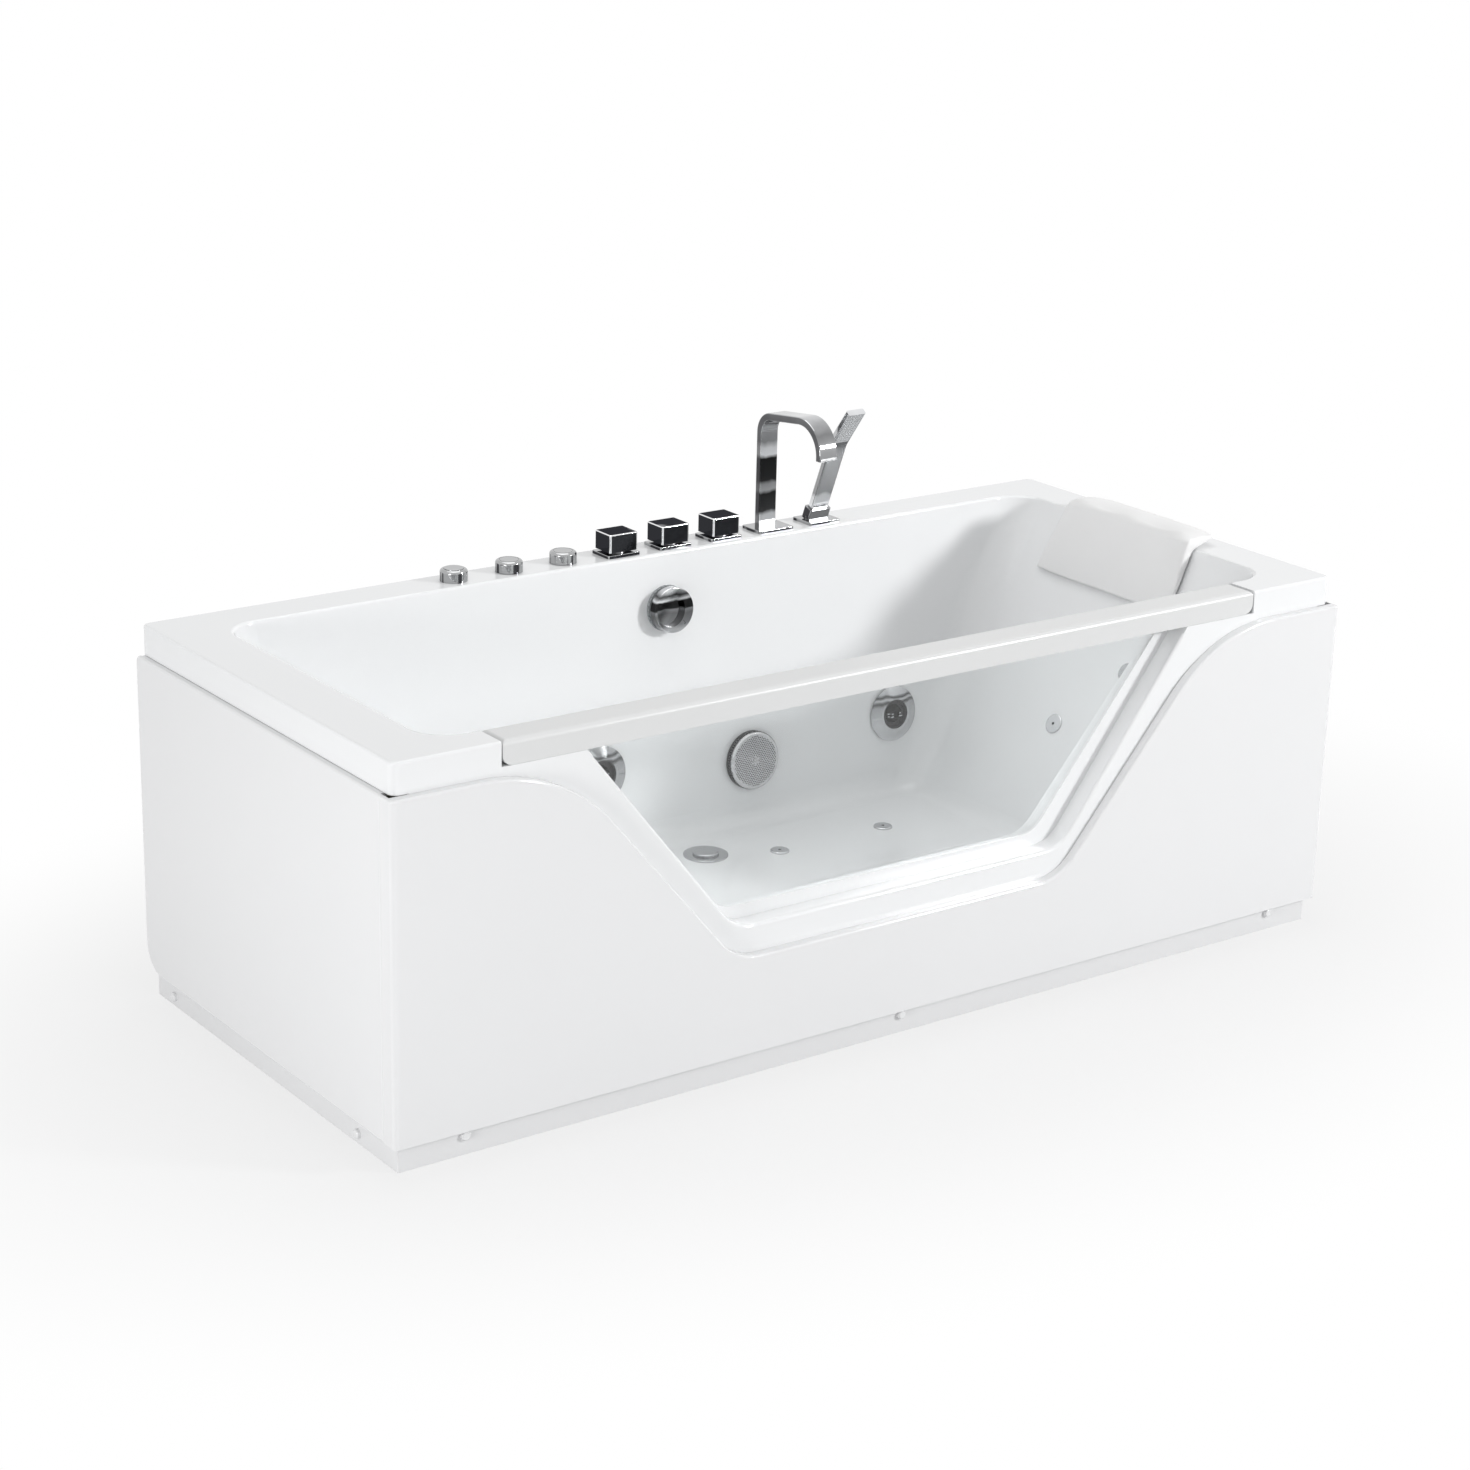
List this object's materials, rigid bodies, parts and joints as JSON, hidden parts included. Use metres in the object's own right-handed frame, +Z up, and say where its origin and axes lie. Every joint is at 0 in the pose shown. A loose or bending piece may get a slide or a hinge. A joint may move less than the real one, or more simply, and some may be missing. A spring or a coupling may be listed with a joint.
{
  "type": "jetted bathtub",
  "caption": "Rectangular jetted bathtub with a trapezoid glass window in its front apron, a folded headrest, deck taps, spout, hand shower, jets and pump.",
  "frame": {"origin": "centre of the bath's footprint on the floor", "axes": "+X along the bath towards the headrest, -Y out of the front panel, +Z up"},
  "size_m": [1.7, 0.735, 0.7804],
  "materials": {
    "white_acrylic": "gloss",
    "white_panel": "gloss",
    "white_plinth": "satin",
    "white_cap": "gloss",
    "clear_glass": "polished",
    "clear_seal": "satin",
    "chrome_trim": "polished",
    "chrome_zinc": "chromed",
    "spray_grey": "matte",
    "soft_white": "satin",
    "clear_rubber": "satin",
    "galvanised_tube": "satin",
    "zinc_steel": "satin",
    "grey_board": "matte",
    "black_plastic": "satin",
    "brass_body": "satin",
    "grey_pipe": "satin",
    "white_pipe": "satin",
    "copper_pipe": "satin",
    "pump_black": "satin",
    "motor_grey": "painted",
    "shaft_steel": "machined",
    "lead_black": "satin"
  },
  "bodies": {
    "tub": {"tub_shell": "white_acrylic", "floor_board": "grey_board", "window_glass": "clear_glass", "window_seal": "clear_seal", "window_top_rail": "white_acrylic", "front_panel": "white_panel", "left_end_panel": "white_panel", "right_end_panel": "white_panel", "plinth_strips": "white_plinth", "plinth_screws": "white_cap", "panel_clips": "zinc_steel", "frame_tubes": "galvanised_tube", "adjustable_feet": "zinc_steel", "foot_lock_nuts": "zinc_steel", "deck_nuts": "brass_body", "air_regulators": "chrome_trim", "air_button_housing": "chrome_zinc", "air_button_bellows": "lead_black", "valve_plates": "chrome_trim", "valve_bodies": "brass_body", "spout": "chrome_trim", "spout_plate": "chrome_trim", "shower_plate": "chrome_trim", "overflow_body": "grey_pipe", "overflow_pipe": "grey_pipe", "drain_flange": "chrome_trim", "drain_trap": "grey_pipe", "suction_cover": "chrome_zinc", "suction_body": "white_pipe", "suction_screw": "zinc_steel", "jet_bodies": "white_pipe", "air_jets": "chrome_zinc", "pump_volute": "pump_black", "pump_motor_housing": "motor_grey", "blower_case": "pump_black", "pump_pipes": "white_pipe", "air_pipes": "white_pipe", "supply_pipes": "copper_pipe", "control_box": "black_plastic", "control_leads": "lead_black"},
    "headrest": {"headrest": "soft_white", "headrest_suckers": "clear_rubber"},
    "air_button": {"air_button_cap": "chrome_zinc"},
    "left_air_knob": {"left_air_knob": "chrome_zinc"},
    "right_air_knob": {"right_air_knob": "chrome_zinc"},
    "left_valve_handle": {"left_valve_handle": "chrome_zinc"},
    "middle_valve_handle": {"middle_valve_handle": "chrome_zinc"},
    "right_valve_handle": {"right_valve_handle": "chrome_zinc"},
    "hand_shower": {"hand_shower": "chrome_zinc", "shower_spray_face": "spray_grey"},
    "overflow_knob": {"overflow_knob": "chrome_zinc"},
    "drain_stopper": {"drain_stopper": "chrome_trim"},
    "left_jet_ring": {"left_jet_ring": "chrome_zinc"},
    "right_jet_ring": {"right_jet_ring": "chrome_zinc"},
    "left_jet_nozzle": {"left_jet_nozzle": "chrome_zinc"},
    "right_jet_nozzle": {"right_jet_nozzle": "chrome_zinc"},
    "pump_rotor": {"pump_shaft": "shaft_steel", "pump_impeller": "black_plastic"},
    "blower_fan": {"blower_fan": "black_plastic"}
  },
  "joints": [
    {"name": "headrest_pull", "type": "slide", "parent": "tub", "child": "headrest", "axis": [-0.8745, 0, 0.485], "range_m": [0, 0.06]},
    {"name": "air_button_press", "type": "slide", "parent": "tub", "child": "air_button", "axis": [0, 0, -1], "range_m": [0, 0.004], "stiffness_N_per_m": 900, "springref_m": -0.003, "deforming": ["air_button_bellows"]},
    {"name": "left_air_knob_turn", "type": "hinge", "parent": "tub", "child": "left_air_knob", "pos_m": [-0.2417, 0.329, 0.59], "axis": [0, 0, 1], "range_deg": [0, 270]},
    {"name": "right_air_knob_turn", "type": "hinge", "parent": "tub", "child": "right_air_knob", "pos_m": [-0.1434, 0.329, 0.59], "axis": [0, 0, 1], "range_deg": [0, 270]},
    {"name": "left_valve_turn", "type": "hinge", "parent": "tub", "child": "left_valve_handle", "pos_m": [-0.0451, 0.328, 0.6], "axis": [0, 0, 1], "range_deg": [0, 90]},
    {"name": "middle_valve_turn", "type": "hinge", "parent": "tub", "child": "middle_valve_handle", "pos_m": [0.0532, 0.328, 0.6], "axis": [0, 0, 1], "range_deg": [0, 90]},
    {"name": "right_valve_turn", "type": "hinge", "parent": "tub", "child": "right_valve_handle", "pos_m": [0.1515, 0.328, 0.6], "axis": [0, 0, 1], "range_deg": [0, 90]},
    {"name": "hand_shower_lift", "type": "slide", "parent": "tub", "child": "hand_shower", "axis": [0, -0.3682, 0.9297], "range_m": [0, 0.12]},
    {"name": "overflow_knob_turn", "type": "hinge", "parent": "tub", "child": "overflow_knob", "pos_m": [0.024, 0.28738, 0.486], "axis": [0, -0.9964, 0.0853], "range_deg": [0, 90]},
    {"name": "drain_stopper_slide", "type": "slide", "parent": "tub", "child": "drain_stopper", "axis": [0, 0, 1], "range_m": [0, 0.008]},
    {"name": "left_jet_ring_turn", "type": "hinge", "parent": "tub", "child": "left_jet_ring", "pos_m": [-0.115, 0.26631, 0.24], "axis": [0, -0.9964, 0.0853], "range_deg": [0, 90]},
    {"name": "right_jet_ring_turn", "type": "hinge", "parent": "tub", "child": "right_jet_ring", "pos_m": [0.471, 0.26631, 0.24], "axis": [0, -0.9964, 0.0853], "range_deg": [0, 90]},
    {"name": "left_jet_tilt", "type": "hinge", "parent": "tub", "child": "left_jet_nozzle", "pos_m": [-0.115, 0.27029, 0.23966], "axis": [1, 0, 0], "range_deg": [-12, 12]},
    {"name": "right_jet_tilt", "type": "hinge", "parent": "tub", "child": "right_jet_nozzle", "pos_m": [0.471, 0.27029, 0.23966], "axis": [1, 0, 0], "range_deg": [-12, 12]},
    {"name": "pump_rotor_spin", "type": "hinge", "parent": "tub", "child": "pump_rotor", "pos_m": [0.72, 0, 0.20737], "axis": [0, 1, 0], "continuous": true},
    {"name": "blower_fan_spin", "type": "hinge", "parent": "tub", "child": "blower_fan", "pos_m": [0.725, -0.22, 0.168], "axis": [0, 1, 0], "continuous": true}
  ],
  "couplings": [
    {"joint": "drain_stopper_slide", "follows": "overflow_knob_turn", "m_per_rad": 0.005093}
  ]
}
